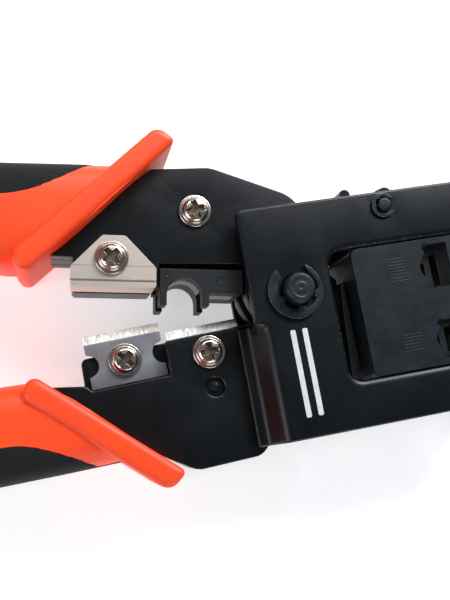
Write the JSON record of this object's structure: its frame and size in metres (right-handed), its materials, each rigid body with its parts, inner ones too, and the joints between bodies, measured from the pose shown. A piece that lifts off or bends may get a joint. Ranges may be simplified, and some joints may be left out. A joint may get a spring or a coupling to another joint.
{
  "type": "crimping tool",
  "caption": "Hand crimping tool for flat modular plugs: ratchet head with a sliding plug die, a slotted cutting jaw, a stripping jaw with a cable seat, and two padded grips.",
  "frame": {"origin": "axis of the main pivot, on the flat rear face of the pivot pin's head", "axes": "+X from the grips to the nose, +Z along the pivot axis from the rear face to the clip side, +Y towards the moving arm"},
  "size_m": [0.2076, 0.0927, 0.0323],
  "materials": {
    "black_plate": "black powder coat, satin",
    "black_block": "black oxide, satin",
    "dark_pin": "black oxide steel",
    "steel": "ground steel",
    "nickel": "satin nickel plate",
    "blade_steel": "ground tool steel",
    "black_plastic": "moulded, fine texture",
    "orange_grip": "soft moulded grip",
    "black_grip": "soft moulded inlay"
  },
  "bodies": {
    "frame": {"front_side_plate": "black_plate", "rear_side_plate": "black_plate", "pivot_pin": "dark_pin", "pivot_clip": "dark_pin", "pivot_washer": "steel", "nose_rivet_top": "dark_pin", "nose_rivet_bottom": "dark_pin", "pawl_pin": "dark_pin", "pawl_clip": "dark_pin", "return_spring_post": "dark_pin", "pawl_spring_post": "dark_pin", "punch_carrier": "black_block", "contact_punch_wide": "steel", "contact_punch_narrow": "steel", "strain_punch_wide": "steel", "strain_punch_narrow": "steel", "lower_arm_front": "black_plate", "lower_arm_rear": "black_plate", "lower_arm_spacer": "black_plate", "arm_rivet": "dark_pin", "cutter_blade": "blade_steel", "strip_blade": "blade_steel", "cutter_screw": "nickel", "cutter_nut": "nickel", "strip_screw": "nickel", "strip_nut": "nickel", "lower_grip_body": "orange_grip", "lower_grip_back": "black_grip", "pawl_spring": "steel", "return_spring": "steel"},
    "moving_arm": {"upper_arm_front": "black_plate", "upper_arm_rear": "black_plate", "cam_lever": "black_plate", "cam_shoe": "steel", "ratchet_sector": "steel", "anvil_plate": "nickel", "cable_guide": "black_plastic", "cutting_saddle": "nickel", "backing_bar": "black_plate", "saddle_screw": "nickel", "saddle_nut": "nickel", "arm_screw": "nickel", "arm_nut": "nickel", "upper_grip_body": "orange_grip", "upper_grip_back": "black_grip"},
    "die": {"die_block": "black_block"},
    "pawl_unit": {"pawl": "steel", "release_lever": "black_plate"}
  },
  "joints": [
    {"name": "arm_hinge", "type": "hinge", "parent": "frame", "child": "moving_arm", "pos_m": [0, 0, 0.0147], "axis": [0, 0, 1], "range_deg": [0, 14.2], "stiffness_Nm_per_rad": 0.6, "deforming": ["return_spring"]},
    {"name": "die_slide", "type": "slide", "parent": "frame", "child": "die", "axis": [1, 0, 0], "range_m": [0, 0.005]},
    {"name": "pawl_hinge", "type": "hinge", "parent": "frame", "child": "pawl_unit", "pos_m": [0.0279, 0.0188, 0.0147], "axis": [0, 0, 1], "range_deg": [-10, 10], "stiffness_Nm_per_rad": 0.02, "deforming": ["pawl_spring"]}
  ],
  "couplings": [
    {"joint": "die_slide", "follows": "arm_hinge", "m_per_rad": 0.02}
  ]
}
